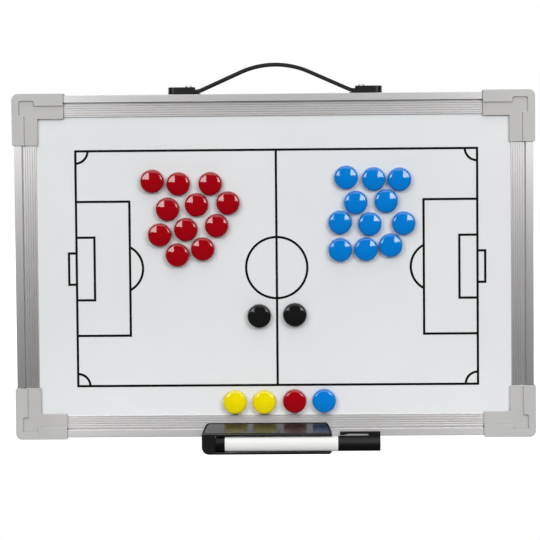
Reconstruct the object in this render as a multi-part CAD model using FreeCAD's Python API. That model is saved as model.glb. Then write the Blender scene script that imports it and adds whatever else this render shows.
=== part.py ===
"""Magnetic tactics board with a carry strap, a clip-on pen holder, a marker and counters.

Millimetres. The board stands upright with its face towards -Y and +Z up. The model is drawn about the
middle of the board, with depth 0 at the front of the rails' beads, and is moved at the end so that the
origin lies under the crown of the carry strap, where a hand holds it.
"""
import FreeCAD, Part
import math
import os

Vector = FreeCAD.Vector

# Board over the corner caps
BOARD_WIDTH = 447.8
BOARD_HEIGHT = 297.8

# Rail section: u runs inwards from the outer edge, depth runs backwards from the bead's front
RAIL_FACE = 18.8
RAIL_DEPTH = 13.0
RAIL_WALL = 1.4
BEAD_WIDTH = 6.4
BEAD_STEP = 1.6
GROOVE_WIDTH = 1.4
GROOVE_DEPTH = 1.3
PARTITION_WALL = 1.4
LIP_WALL = 1.4
BACK_LIP_WIDTH = 14.0
RIB_PITCH = 2.0
RIB_NOTCH_WIDTH = 0.8
RIB_NOTCH_DEPTH = 0.4
RAIL_OUTER_RADIUS = 0.5
RAIL_EDGE_RADIUS = 0.4

# Panel held between the rails' lips
SHEET_THICKNESS = 0.5
BACK_SHEET_THICKNESS = 0.4
PANEL_EDGE_GAP = 0.4

# Printed pitch
INK_THICKNESS = 0.1
LINE_WIDTH = 2.0
PITCH_MARGIN_X = 31.25
PITCH_MARGIN_Z = 27.25
PITCH_SHIFT_X = 2.3
PITCH_SHIFT_Z = -1.9
CENTRE_CIRCLE_RADIUS = 26.3
PENALTY_DEPTH = 46.0
PENALTY_HEIGHT = 115.5
GOAL_AREA_DEPTH = 15.5
GOAL_AREA_HEIGHT = 54.0
GOAL_DEPTH = 6.6
GOAL_HEIGHT = 27.0
ARC_RADIUS = 21.0
ARC_RISE = 11.2
CORNER_ARC_RADIUS = 10.5

# Corner caps
CAP_PROUD = 1.6
CAP_SKIN = 1.5
CAP_BACK_SKIN = 2.2
CAP_OVERHANG = 1.5
CAP_ARM_LENGTH = 44.5
CAP_STEP_WALL = 2.5
CAP_CORNER_RADIUS = 5.3
CAP_EDGE_RADIUS = 1.5
PATCH_MARGIN = 6.2
PATCH_SIZE = 13.0
PATCH_RADIUS = 1.6
MARK_RADIUS = 5.4
MARK_DEPTH = 0.1
SPIGOT_LENGTH = 18.0
SPIGOT_CLEARANCE = 0.15

# Screws of the corner caps, from the back
CORNER_SCREW_RADIUS = 1.25
CORNER_SCREW_LENGTH = 9.0
CORNER_HEAD_RADIUS = 2.6
CORNER_HEAD_HEIGHT = 1.4
CORNER_HEAD_SINK = 0.2
SCREW_CLEARANCE = 0.1
THREAD_CLEARANCE = 0.05
DRIVE_WIDTH = 0.7
DRIVE_DEPTH = 0.7
DRIVE_SHARE = 0.6
HEAD_ROUND_SHARE = 0.6

# Carry strap and its end caps, on the top rail
HANDLE_SHIFT_X = 2.0
STRAP_THICKNESS = 3.1
STRAP_WIDTH = 11.5
STRAP_SLOPE_DEG = 24.0
STRAP_CROWN_RADIUS = 72.0
STRAP_BEND_RADIUS = 12.0
STRAP_FLAT_RUN = 0.8
STRAP_SLIDE = 6.0
STRAP_GAP = 0.15
END_CAP_REACH = 91.7
END_CAP_LENGTH = 23.0
END_CAP_LIP = 4.9
END_CAP_WIDTH = 13.0
END_CAP_FLOOR = 0.8
END_CAP_ROOF = 1.9
END_CAP_WALL = 3.4
END_CAP_EDGE_RADIUS = 0.5
END_CAP_ROUND_SHARE = 0.9
SLOT_ROUND_SHARE = 0.99
STRAP_SCREW_INSET = 5.4
STRAP_SCREW_RADIUS = 1.5
STRAP_HEAD_RADIUS = 2.8
STRAP_HEAD_HEIGHT = 1.2
NUT_PLATE_LENGTH = 14.0
NUT_PLATE_THICKNESS = 2.5

# Pen holder, clipped to the bottom rail's bead
BARREL_OVERHANG = 5.15
HOLDER_SHIFT_X = -7.125
HOLDER_GAP = 0.15
HOLDER_PLATE = 2.0
HOLDER_REAR_TOP = 11.8
HOLDER_UPPER_LIP = 2.0
HOLDER_LOWER_LIP = 2.0
HOLDER_LIP_REACH = 3.8
HOLDER_END_WALL = 11.6
HOLDER_LEFT_RADIUS = 6.4
HOLDER_RIGHT_RADIUS = 3.2
HOLDER_TOP_RADIUS = 1.5
HOLDER_CREST_RADIUS = 3.8
HOLDER_TOP_TAPER = 3.6
HOLDER_EDGE_RADIUS = 0.5
TONGUE_GAP = 0.1
CATCH_REACH = 5.0
CATCH_THICKNESS = 1.8
NUB_SPAN = 59.4
NUB_LENGTH = 8.0
NUB_INSET = 0.3
NUB_DEPTH = 1.2
NUB_HEIGHT = 0.6

# Marker, lying in the holder along X
MARKER_RADIUS = 6.5
MARKER_GAP = 0.3
MARKER_DROP = 5.3
PLUG_LENGTH = 8.0
PLUG_SPIGOT_LENGTH = 6.0
PLUG_EDGE_RADIUS = 0.6
BARREL_LENGTH = 97.0
BARREL_WALL = 1.2
MARKER_FIT = 0.05
SECTION_INSET = 10.0
SECTION_NECK_LENGTH = 17.0
SECTION_CONE_LENGTH = 5.0
SECTION_COLLAR = 0.2
NIB_RADIUS = 2.0
NIB_LENGTH = 16.0
NIB_OUT = 4.5
NIB_TIP_RADIUS = 1.2
CORE_WALL_GAP = 0.4
LID_LENGTH = 36.0
LID_WALL = 1.4
LID_END_WALL = 2.0
LID_RIM_RADIUS = 0.5
CLIP_LENGTH = 34.6
CLIP_WIDTH = 4.4
CLIP_THICKNESS = 1.8
CLIP_SLOT = 1.9
CLIP_ROOT = 10.2
CLIP_TIP = 3.0
CLIP_TIP_GAP = 0.9
CLIP_RAMP = 4.5
CLIP_EDGE_RADIUS = 0.75

# Counters: each is a plastic cap over a ferrite disc
COUNTER_DIAMETER = 20.9
COUNTER_HEIGHT = 7.0
COUNTER_CROWN_RISE = 1.0
COUNTER_SHOULDER = 2.4
COUNTER_TAPER = 0.4
COUNTER_RIM = 2.0
DISC_THICKNESS = 4.0
DISC_CLEARANCE = 0.1
COUNTER_GAP = 1.6

# Places of the counters, in counter pitches from the middle of their group
RED_GROUP = (-73.0, 42.0)
RED_PLACES = (
    (-1.38, 1.38), (-0.38, 1.27), (0.84, 1.27), (-0.80, 0.31), (0.31, 0.47), (1.51, 0.53),
    (-1.11, -0.67), (-0.11, -0.47), (1.07, -0.33), (-0.44, -1.44), (0.53, -1.22),
)
BLUE_GROUP = (84.0, 44.0)
BLUE_PLACES = (
    (-0.96, 1.38), (0.09, 1.31), (1.07, 1.29), (-0.60, 0.42), (0.56, 0.47), (-1.20, -0.33),
    (-0.07, -0.40), (1.22, -0.38), (-1.20, -1.38), (-0.22, -1.36), (0.72, -1.22),
)
BLACK_GROUP = (2.3, -43.0)
BLACK_PLACES = ((-0.68, -0.02), (0.68, 0.02))
SPARE_SHIFT_X = 3.5
SPARE_GAP = 1.35
SPARE_PLACES = (
    ("yellow", -1.69, -0.042), ("yellow", -0.575, -0.051), ("red", 0.59, -0.019), ("blue", 1.72, -0.012),
)

# Worked out from the sizes above
FRAME_WIDTH = BOARD_WIDTH - 2 * CAP_PROUD
FRAME_HEIGHT = BOARD_HEIGHT - 2 * CAP_PROUD
HALF_WIDTH = FRAME_WIDTH / 2
HALF_HEIGHT = FRAME_HEIGHT / 2
FACE_WIDTH = FRAME_WIDTH - 2 * RAIL_FACE
FACE_HEIGHT = FRAME_HEIGHT - 2 * RAIL_FACE
PITCH_LENGTH = FACE_WIDTH - 2 * PITCH_MARGIN_X
PITCH_HEIGHT = FACE_HEIGHT - 2 * PITCH_MARGIN_Z
GROOVE_FLOOR = BEAD_STEP + GROOVE_DEPTH
SLOT_START = BEAD_WIDTH + GROOVE_WIDTH + PARTITION_WALL
CHAMBER_INNER = SLOT_START - PARTITION_WALL
CHAMBER_FRONT = GROOVE_FLOOR + RAIL_WALL
CHAMBER_BACK = RAIL_DEPTH - RAIL_WALL
PANEL_FRONT = BEAD_STEP + LIP_WALL
PANEL_BACK = RAIL_DEPTH - RAIL_WALL
PANEL_EDGE = SLOT_START + PANEL_EDGE_GAP
CAP_ARM = CAP_ARM_LENGTH - CAP_PROUD
CAP_INNER = RAIL_FACE + CAP_OVERHANG
CAP_BACK_INNER = BACK_LIP_WIDTH + CAP_OVERHANG
CAP_BACK = RAIL_DEPTH + CAP_BACK_SKIN
CAP_LOW_LEVEL = BEAD_STEP - CAP_SKIN
CAP_STEP = BEAD_WIDTH + CAP_STEP_WALL
SCREW_PLACE = CAP_INNER + SPIGOT_LENGTH / 2
SCREW_U = (RAIL_WALL + CHAMBER_INNER) / 2
CORNER_SEAT = CAP_BACK - CORNER_HEAD_SINK - CORNER_HEAD_HEIGHT
HANDLE_DEPTH = RAIL_DEPTH / 2
STRAP_FLAT_Z = HALF_HEIGHT + END_CAP_FLOOR + STRAP_GAP + STRAP_THICKNESS / 2
STRAP_SLOT_TOP = HALF_HEIGHT + END_CAP_FLOOR + STRAP_THICKNESS + 2 * STRAP_GAP
END_CAP_TOP = STRAP_SLOT_TOP + END_CAP_ROOF
END_CAP_INNER = END_CAP_REACH - END_CAP_LENGTH
STRAP_SCREW_X = END_CAP_INNER + STRAP_SCREW_INSET
STRAP_BEND_START = END_CAP_INNER - STRAP_FLAT_RUN
SLOPE = math.radians(STRAP_SLOPE_DEG)
BOTH_RADII = STRAP_CROWN_RADIUS + STRAP_BEND_RADIUS
STRAIGHT_RUN = STRAP_BEND_START - BOTH_RADII * math.sin(SLOPE)
STRAP_CROWN_Z = STRAP_FLAT_Z + BOTH_RADII * (1 - math.cos(SLOPE)) + STRAIGHT_RUN * math.tan(SLOPE)
RAIL_BOTTOM = -HALF_HEIGHT
PLATE_REAR = -HOLDER_GAP
PLATE_FRONT = PLATE_REAR - HOLDER_PLATE
CHANNEL_HALF = MARKER_RADIUS + MARKER_GAP
MARKER_DEPTH = PLATE_FRONT - CHANNEL_HALF
MARKER_Z = RAIL_BOTTOM - MARKER_DROP
HOLDER_FRONT = MARKER_DEPTH - HOLDER_LIP_REACH
HOLDER_LOW = MARKER_Z - CHANNEL_HALF - HOLDER_LOWER_LIP
HOLDER_LENGTH = HOLDER_END_WALL + MARKER_GAP + PLUG_LENGTH + BARREL_LENGTH - BARREL_OVERHANG
HOLDER_LEFT = HOLDER_SHIFT_X - HOLDER_LENGTH / 2
PLUG_START = HOLDER_LEFT + HOLDER_END_WALL + MARKER_GAP
BARREL_START = PLUG_START + PLUG_LENGTH
BARREL_END = BARREL_START + BARREL_LENGTH
BARREL_BORE = MARKER_RADIUS - BARREL_WALL
LID_START = BARREL_END + SECTION_COLLAR
LID_BORE = MARKER_RADIUS - LID_WALL
NECK_RADIUS = LID_BORE - MARKER_FIT
NECK_END = LID_START + SECTION_NECK_LENGTH
CONE_END = NECK_END + SECTION_CONE_LENGTH
COUNTER_SEAT = PANEL_FRONT - INK_THICKNESS
COUNTER_PITCH = COUNTER_DIAMETER + COUNTER_GAP
SPARE_GROUP = (SPARE_SHIFT_X, -FACE_HEIGHT / 2 + COUNTER_DIAMETER / 2 + SPARE_GAP)
ORIGIN = Vector(HANDLE_SHIFT_X, HANDLE_DEPTH, STRAP_CROWN_Z - STRAP_THICKNESS / 2)
CORNER_HOLE_RADIUS = CORNER_SCREW_RADIUS + SCREW_CLEARANCE
STRAP_HOLE_RADIUS = STRAP_SCREW_RADIUS + SCREW_CLEARANCE
OVERCUT = 1.0
WALL_CUT = RAIL_WALL + 2 * OVERCUT
RIGHT = Vector(1, 0, 0)
BACKWARD = Vector(0, 1, 0)
UP = Vector(0, 0, 1)


def plan(a, b):
    """Point of an outline in the board's plane, at depth 0."""
    return Vector(a, 0, b)


def section(a, b):
    """Point of an outline in the plane across X: depth and height."""
    return Vector(0, a, b)


def top_view(a, b):
    """Point of an outline seen from above: X and depth."""
    return Vector(a, b, 0)


def rounded_wire(corners, place):
    """Closed wire through (a, b, radius) corners, each rounded to its radius."""
    ends = []
    for index, (a, b, radius) in enumerate(corners):
        corner = Vector(a, b, 0)
        previous = Vector(*corners[index - 1][:2], 0)
        following = Vector(*corners[(index + 1) % len(corners)][:2], 0)
        back = (previous - corner).normalize()
        ahead = (following - corner).normalize()
        half_angle = back.getAngle(ahead) / 2
        trim = radius / math.tan(half_angle)
        middle = corner
        if radius:
            inward = (back + ahead).normalize()
            middle = corner + inward * (radius / math.sin(half_angle) - radius)
        ends.append((corner + back * trim, middle, corner + ahead * trim, radius))
    edges = []
    for index, (start, middle, end, radius) in enumerate(ends):
        if radius:
            arc = Part.Arc(place(start.x, start.y), place(middle.x, middle.y), place(end.x, end.y))
            edges.append(arc.toShape())
        after = ends[(index + 1) % len(ends)][0]
        if (after - end).Length > 1e-6:
            edges.append(Part.makeLine(place(end.x, end.y), place(after.x, after.y)))
    return Part.Wire(edges)


def prism(corners, place, direction):
    """Solid swept straight from a rounded outline."""
    return Part.Face(rounded_wire(corners, place)).extrude(direction)


def sharp(points):
    """Corners with no rounding."""
    return [(a, b, 0) for a, b in points]


def block(x_range, depth_range, z_range):
    """Box between two X, two depths and two heights, given in either order."""
    x0, x1 = sorted(x_range)
    d0, d1 = sorted(depth_range)
    z0, z1 = sorted(z_range)
    return Part.makeBox(x1 - x0, d1 - d0, z1 - z0, Vector(x0, d0, z0))


def rod(radius, start, length, direction):
    """Round bar from a point along a direction."""
    return Part.makeCylinder(radius, length, start, direction)


def cut_all(shape, tools):
    """The shape less every tool."""
    return shape.cut(tools) if tools else shape


def save(name, *solids):
    """Write one node, moved to the part's own origin."""
    shape = solids[0].copy() if len(solids) == 1 else Part.makeCompound([s.copy() for s in solids])
    shape.translate(-ORIGIN)
    shape.exportStep("parts/" + name + ".step")


def rail_outline():
    """Corners of the rail's section as (u, depth, radius), ribs included."""
    corners = [(0, 0, RAIL_OUTER_RADIUS), (BEAD_WIDTH, 0, RAIL_EDGE_RADIUS)]
    lip_start = BEAD_WIDTH + GROOVE_WIDTH
    corners += sharp([(BEAD_WIDTH, GROOVE_FLOOR), (lip_start, GROOVE_FLOOR), (lip_start, BEAD_STEP)])
    rib_count = int((RAIL_FACE - lip_start) / RIB_PITCH)
    for index in range(1, rib_count + 1):
        notch = lip_start + index * RIB_PITCH - RIB_NOTCH_WIDTH / 2
        if notch + RIB_NOTCH_WIDTH > RAIL_FACE - RAIL_EDGE_RADIUS:
            break
        corners += sharp([
            (notch - RIB_NOTCH_WIDTH / 2, BEAD_STEP),
            (notch, BEAD_STEP + RIB_NOTCH_DEPTH),
            (notch + RIB_NOTCH_WIDTH / 2, BEAD_STEP),
        ])
    corners += [(RAIL_FACE, BEAD_STEP, RAIL_EDGE_RADIUS)]
    corners += sharp([(RAIL_FACE, PANEL_FRONT), (SLOT_START, PANEL_FRONT), (SLOT_START, PANEL_BACK)])
    corners += sharp([(BACK_LIP_WIDTH, PANEL_BACK)])
    corners += [(BACK_LIP_WIDTH, RAIL_DEPTH, RAIL_EDGE_RADIUS), (0, RAIL_DEPTH, RAIL_OUTER_RADIUS)]
    return corners


def chamber_outline():
    """Corners of the rail's closed chamber, which follows the bead and clears the groove."""
    return sharp([
        (RAIL_WALL, RAIL_WALL), (BEAD_WIDTH - RAIL_WALL, RAIL_WALL), (BEAD_WIDTH - RAIL_WALL, CHAMBER_FRONT),
        (CHAMBER_INNER, CHAMBER_FRONT), (CHAMBER_INNER, CHAMBER_BACK), (RAIL_WALL, CHAMBER_BACK),
    ])


def level_rail(sign):
    """Top (+1) or bottom (-1) rail, cut square at the corner caps' blocks."""
    half_length = HALF_WIDTH - CAP_INNER

    def place(u, depth):
        return Vector(-half_length, depth, sign * (HALF_HEIGHT - u))

    run = Vector(2 * half_length, 0, 0)
    rail = prism(rail_outline(), place, run).cut(prism(chamber_outline(), place, run))
    holes = []
    for side in (-1, 1):
        x = side * (HALF_WIDTH - SCREW_PLACE)
        start = Vector(x, CHAMBER_BACK - OVERCUT, sign * (HALF_HEIGHT - SCREW_U))
        holes.append(rod(CORNER_HOLE_RADIUS, start, WALL_CUT, BACKWARD))
    return cut_all(rail, holes)


def upright_rail(sign):
    """Left (-1) or right (+1) rail, cut square at the corner caps' blocks."""
    half_length = HALF_HEIGHT - CAP_INNER

    def place(u, depth):
        return Vector(sign * (HALF_WIDTH - u), depth, -half_length)

    run = Vector(0, 0, 2 * half_length)
    rail = prism(rail_outline(), place, run).cut(prism(chamber_outline(), place, run))
    holes = []
    for side in (-1, 1):
        z = side * (HALF_HEIGHT - SCREW_PLACE)
        start = Vector(sign * (HALF_WIDTH - SCREW_U), CHAMBER_BACK - OVERCUT, z)
        holes.append(rod(CORNER_HOLE_RADIUS, start, WALL_CUT, BACKWARD))
    return cut_all(rail, holes)


def top_rail():
    """Top rail with the two holes of the strap's screws."""
    holes = []
    for side in (-1, 1):
        x = HANDLE_SHIFT_X + side * STRAP_SCREW_X
        start = Vector(x, HANDLE_DEPTH, HALF_HEIGHT - RAIL_WALL - OVERCUT)
        holes.append(rod(STRAP_HOLE_RADIUS, start, WALL_CUT, UP))
    return cut_all(level_rail(1), holes)


def panel_layer(front, back):
    """One flat layer of the panel."""
    half_x = HALF_WIDTH - PANEL_EDGE
    half_z = HALF_HEIGHT - PANEL_EDGE
    return block((-half_x, half_x), (front, back), (-half_z, half_z))


def ink_box(x_range, z_range):
    """Printed patch between two X and two heights, measured from the middle of the pitch."""
    xs = [PITCH_SHIFT_X + x for x in x_range]
    zs = [PITCH_SHIFT_Z + z for z in z_range]
    return block(xs, (COUNTER_SEAT, PANEL_FRONT), zs)


def ink_line(x0, z0, x1, z1):
    """Printed line along X or Z with square ends, its middle on the given points."""
    half = LINE_WIDTH / 2
    return ink_box((min(x0, x1) - half, max(x0, x1) + half), (min(z0, z1) - half, max(z0, z1) + half))


def ink_ring(x, z, radius):
    """Printed circle."""
    centre = Vector(PITCH_SHIFT_X + x, COUNTER_SEAT, PITCH_SHIFT_Z + z)
    outer = rod(radius + LINE_WIDTH / 2, centre, INK_THICKNESS, BACKWARD)
    return outer.cut(rod(radius - LINE_WIDTH / 2, centre, INK_THICKNESS, BACKWARD))


def ink_frame(x0, x1, half_height):
    """Three printed sides of a box that stands on the goal line at x0."""
    return [
        ink_line(x0, half_height, x1, half_height),
        ink_line(x1, half_height, x1, -half_height),
        ink_line(x0, -half_height, x1, -half_height),
    ]


def pitch_print():
    """The whole pitch as one thin film of ink."""
    half_x = PITCH_LENGTH / 2
    half_z = PITCH_HEIGHT / 2
    inks = [ink_line(0, -half_z, 0, half_z), ink_ring(0, 0, CENTRE_CIRCLE_RADIUS)]
    for sign in (-1, 1):
        goal_line = sign * half_x
        inks.append(ink_line(-half_x, sign * half_z, half_x, sign * half_z))
        inks.append(ink_line(goal_line, -half_z, goal_line, half_z))
        inks += ink_frame(goal_line, goal_line - sign * PENALTY_DEPTH, PENALTY_HEIGHT / 2)
        inks += ink_frame(goal_line, goal_line - sign * GOAL_AREA_DEPTH, GOAL_AREA_HEIGHT / 2)
        inks += ink_frame(goal_line, goal_line + sign * GOAL_DEPTH, GOAL_HEIGHT / 2)
        arc_line = goal_line - sign * PENALTY_DEPTH
        arc_centre = arc_line - sign * (ARC_RISE - ARC_RADIUS)
        room = ink_box((arc_line, arc_line - sign * (ARC_RISE + LINE_WIDTH)), (-ARC_RADIUS, ARC_RADIUS))
        inks.append(ink_ring(arc_centre, 0, ARC_RADIUS).common(room))
        for end in (-1, 1):
            corner = ink_box(
                (goal_line, goal_line - sign * (CORNER_ARC_RADIUS + LINE_WIDTH)),
                (end * half_z, end * (half_z - CORNER_ARC_RADIUS - LINE_WIDTH)),
            )
            inks.append(ink_ring(goal_line, end * half_z, CORNER_ARC_RADIUS).common(corner))
    return inks[0].fuse(inks[1:]).removeSplitter()


def corner_cap(side_x, side_z):
    """Plastic corner: wraps both rails, fills the corner and plugs into the rails' chambers."""

    def place(p, q):
        return Vector(side_x * (HALF_WIDTH - p), 0, side_z * (HALF_HEIGHT - q))

    def wrap(inner, front, back):
        corners = [
            (-CAP_PROUD, -CAP_PROUD, CAP_CORNER_RADIUS),
            (CAP_ARM, -CAP_PROUD, CAP_EDGE_RADIUS),
            (CAP_ARM, inner, 0),
            (inner, inner, 0),
            (inner, CAP_ARM, 0),
            (-CAP_PROUD, CAP_ARM, CAP_EDGE_RADIUS),
        ]
        solid = prism(corners, place, Vector(0, back - front, 0))
        solid.translate(Vector(0, front, 0))
        return solid

    def cap_block(p_range, q_range, depth_range):
        xs = [side_x * (HALF_WIDTH - p) for p in p_range]
        zs = [side_z * (HALF_HEIGHT - q) for q in q_range]
        return block(xs, depth_range, zs)

    body = wrap(CAP_INNER, -CAP_SKIN, PANEL_FRONT).fuse(wrap(CAP_BACK_INNER, -CAP_SKIN, CAP_BACK))
    beyond = CAP_ARM + OVERCUT
    above = -CAP_SKIN - OVERCUT
    patch_start = PATCH_MARGIN - CAP_PROUD
    patch_end = patch_start + PATCH_SIZE
    patch = [
        (patch_start, patch_start, PATCH_RADIUS),
        (patch_end, patch_start, PATCH_RADIUS),
        (patch_end, patch_end, PATCH_RADIUS),
        (patch_start, patch_end, PATCH_RADIUS),
    ]
    recess = prism(patch, place, Vector(0, CAP_LOW_LEVEL - above, 0))
    recess.translate(Vector(0, above, 0))
    middle = patch_start + PATCH_SIZE / 2
    mark_start = place(middle, middle) + Vector(0, above, 0)
    mark = rod(MARK_RADIUS, mark_start, CAP_LOW_LEVEL + MARK_DEPTH - above, BACKWARD)
    tools = [cap_block((CAP_STEP, beyond), (CAP_STEP, beyond), (above, CAP_LOW_LEVEL)), recess, mark]
    tools.append(cap_block((SLOT_START, beyond), (SLOT_START, beyond), (PANEL_FRONT, PANEL_BACK)))
    envelope = sharp([
        (0, 0), (BEAD_WIDTH, 0), (BEAD_WIDTH, BEAD_STEP), (RAIL_FACE, BEAD_STEP), (RAIL_FACE, PANEL_BACK),
        (BACK_LIP_WIDTH, PANEL_BACK), (BACK_LIP_WIDTH, RAIL_DEPTH), (0, RAIL_DEPTH),
    ])

    def level_place(u, depth):
        return Vector(side_x * (HALF_WIDTH - CAP_INNER), depth, side_z * (HALF_HEIGHT - u))

    def upright_place(u, depth):
        return Vector(side_x * (HALF_WIDTH - u), depth, side_z * (HALF_HEIGHT - CAP_INNER))

    run = beyond - CAP_INNER
    tools.append(prism(envelope, level_place, Vector(-side_x * run, 0, 0)))
    tools.append(prism(envelope, upright_place, Vector(0, 0, -side_z * run)))
    body = cut_all(body, tools)

    across = (RAIL_WALL + SPIGOT_CLEARANCE, CHAMBER_INNER - SPIGOT_CLEARANCE)
    along = (CAP_INNER - OVERCUT, CAP_INNER + SPIGOT_LENGTH)
    deep = (CHAMBER_FRONT + SPIGOT_CLEARANCE, CHAMBER_BACK - SPIGOT_CLEARANCE)
    body = body.fuse([cap_block(along, across, deep), cap_block(across, along, deep)]).removeSplitter()

    holes = []
    for p, q in ((SCREW_PLACE, SCREW_U), (SCREW_U, SCREW_PLACE)):
        holes.append(corner_screw_space(place(p, q)))
    return cut_all(body, holes)


def corner_screw_space(place):
    """Hole and head pocket of one corner screw, which enters from the back."""
    seat = place + Vector(0, CORNER_SEAT, 0)
    tip = seat - Vector(0, CORNER_SCREW_LENGTH, 0)
    pocket = rod(CORNER_HEAD_RADIUS + SCREW_CLEARANCE, seat, CAP_BACK - CORNER_SEAT + OVERCUT, BACKWARD)
    hole = rod(CORNER_HOLE_RADIUS, tip, CORNER_SCREW_LENGTH + OVERCUT, BACKWARD)
    return pocket.fuse(hole)


def drive_cross(radius):
    """Two crossed bars about the Z axis, to be cut from a screw head's top at height 0."""
    half = DRIVE_WIDTH / 2
    reach = radius * DRIVE_SHARE
    bar = Part.makeBox(2 * reach, DRIVE_WIDTH, DRIVE_DEPTH + OVERCUT, Vector(-reach, -half, -DRIVE_DEPTH))
    other = Part.makeBox(DRIVE_WIDTH, 2 * reach, DRIVE_DEPTH + OVERCUT, Vector(-half, -reach, -DRIVE_DEPTH))
    return bar.fuse(other)


def pan_screw(shank_radius, shank_length, head_radius, head_height):
    """Screw along -Z with the underside of its head at height 0 and a domed edge on top."""
    head = rod(head_radius, Vector(0, 0, 0), head_height, UP)
    rim = [edge for edge in head.Edges if abs(edge.CenterOfMass.z - head_height) < 1e-6]
    head = head.makeFillet(head_height * HEAD_ROUND_SHARE, rim)
    cross = drive_cross(head_radius)
    cross.translate(Vector(0, 0, head_height))
    shank = rod(shank_radius, Vector(0, 0, -shank_length), shank_length, UP)
    return head.fuse(shank).cut(cross)


def corner_screws():
    """Two screws for each corner cap, heads sunk in its back."""
    screws = []
    for side_x in (-1, 1):
        for side_z in (-1, 1):
            for p, q in ((SCREW_PLACE, SCREW_U), (SCREW_U, SCREW_PLACE)):
                screw = pan_screw(
                    CORNER_SCREW_RADIUS, CORNER_SCREW_LENGTH, CORNER_HEAD_RADIUS, CORNER_HEAD_HEIGHT)
                screw.rotate(Vector(0, 0, 0), RIGHT, -90)
                screw.translate(Vector(side_x * (HALF_WIDTH - p), CORNER_SEAT, side_z * (HALF_HEIGHT - q)))
                screws.append(screw)
    return screws


def strap_edge(offset):
    """Half of the strap's side line, right of the crown, at an offset above its middle: crown to end."""
    crown = STRAP_CROWN_RADIUS + offset
    bend = STRAP_BEND_RADIUS - offset
    crown_centre = STRAP_CROWN_Z - STRAP_CROWN_RADIUS
    bend_centre = STRAP_FLAT_Z + STRAP_BEND_RADIUS

    def on_crown(angle):
        return plan(crown * math.sin(angle), crown_centre + crown * math.cos(angle))

    def on_bend(angle):
        return plan(STRAP_BEND_START - bend * math.sin(angle), bend_centre - bend * math.cos(angle))

    end = plan(END_CAP_REACH - END_CAP_WALL - STRAP_SLIDE / 2, STRAP_FLAT_Z + offset)
    return [
        Part.Arc(on_crown(0), on_crown(SLOPE / 2), on_crown(SLOPE)).toShape(),
        Part.makeLine(on_crown(SLOPE), on_bend(SLOPE)),
        Part.Arc(on_bend(SLOPE), on_bend(SLOPE / 2), on_bend(0)).toShape(),
        Part.makeLine(on_bend(0), end),
    ]


def strap_slot_tool(x):
    """Long hole for the strap's screw, so that the strap's end can slide under its end cap."""
    half = STRAP_HOLE_RADIUS
    reach = half + STRAP_SLIDE / 2
    radius = half * SLOT_ROUND_SHARE
    corners = [
        (x - reach, HANDLE_DEPTH - half, radius),
        (x + reach, HANDLE_DEPTH - half, radius),
        (x + reach, HANDLE_DEPTH + half, radius),
        (x - reach, HANDLE_DEPTH + half, radius),
    ]
    tool = prism(corners, top_view, Vector(0, 0, STRAP_THICKNESS + 2 * OVERCUT))
    tool.translate(Vector(0, 0, STRAP_FLAT_Z - STRAP_THICKNESS / 2 - OVERCUT))
    return tool


def handle_strap():
    """Flat strap that bows up from its two ends, with a long hole in each end."""
    upper = strap_edge(STRAP_THICKNESS / 2)
    lower = strap_edge(-STRAP_THICKNESS / 2)
    side = Part.makeLine(upper[-1].Vertexes[-1].Point, lower[-1].Vertexes[-1].Point)
    middle = Part.makeLine(upper[0].Vertexes[0].Point, lower[0].Vertexes[0].Point)
    outline = Part.Wire(Part.__sortEdges__(upper + [side] + lower + [middle]))
    half = Part.Face(outline).extrude(Vector(0, STRAP_WIDTH, 0))
    half.translate(Vector(0, HANDLE_DEPTH - STRAP_WIDTH / 2, 0))
    other = half.mirror(Vector(0, 0, 0), RIGHT)
    strap = half.fuse(other).removeSplitter()
    strap = cut_all(strap, [strap_slot_tool(side * STRAP_SCREW_X) for side in (-1, 1)])
    strap.translate(Vector(HANDLE_SHIFT_X, 0, 0))
    return strap


def strap_end(side):
    """End cap of the strap: a rounded block with a slot for the strap and a thin lip under it."""
    half = END_CAP_WIDTH / 2
    inner = END_CAP_INNER
    radius = half * END_CAP_ROUND_SHARE
    corners = [
        (inner, HANDLE_DEPTH - half, 0),
        (END_CAP_REACH, HANDLE_DEPTH - half, radius),
        (END_CAP_REACH, HANDLE_DEPTH + half, radius),
        (inner, HANDLE_DEPTH + half, 0),
    ]
    body = prism(corners, top_view, Vector(0, 0, END_CAP_TOP - HALF_HEIGHT))
    body.translate(Vector(0, 0, HALF_HEIGHT))
    top_edges = [edge for edge in body.Edges if edge.BoundBox.ZMin > END_CAP_TOP - 1e-6]
    body = body.makeFillet(END_CAP_EDGE_RADIUS, top_edges)
    depths = (HANDLE_DEPTH - half, HANDLE_DEPTH + half)
    lip = block((inner - END_CAP_LIP, inner), depths, (HALF_HEIGHT, HALF_HEIGHT + END_CAP_FLOOR))
    half_slot = STRAP_WIDTH / 2 + STRAP_GAP
    slot = block(
        (inner - OVERCUT, END_CAP_REACH - END_CAP_WALL), (HANDLE_DEPTH - half_slot, HANDLE_DEPTH + half_slot),
        (HALF_HEIGHT + END_CAP_FLOOR, STRAP_SLOT_TOP))
    start = Vector(STRAP_SCREW_X, HANDLE_DEPTH, HALF_HEIGHT - OVERCUT)
    hole = rod(STRAP_HOLE_RADIUS, start, END_CAP_TOP - HALF_HEIGHT + 2 * OVERCUT, UP)
    body = body.fuse(lip).cut([slot, hole]).removeSplitter()
    if side < 0:
        body = body.mirror(Vector(0, 0, 0), RIGHT)
    body.translate(Vector(HANDLE_SHIFT_X, 0, 0))
    return body


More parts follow.
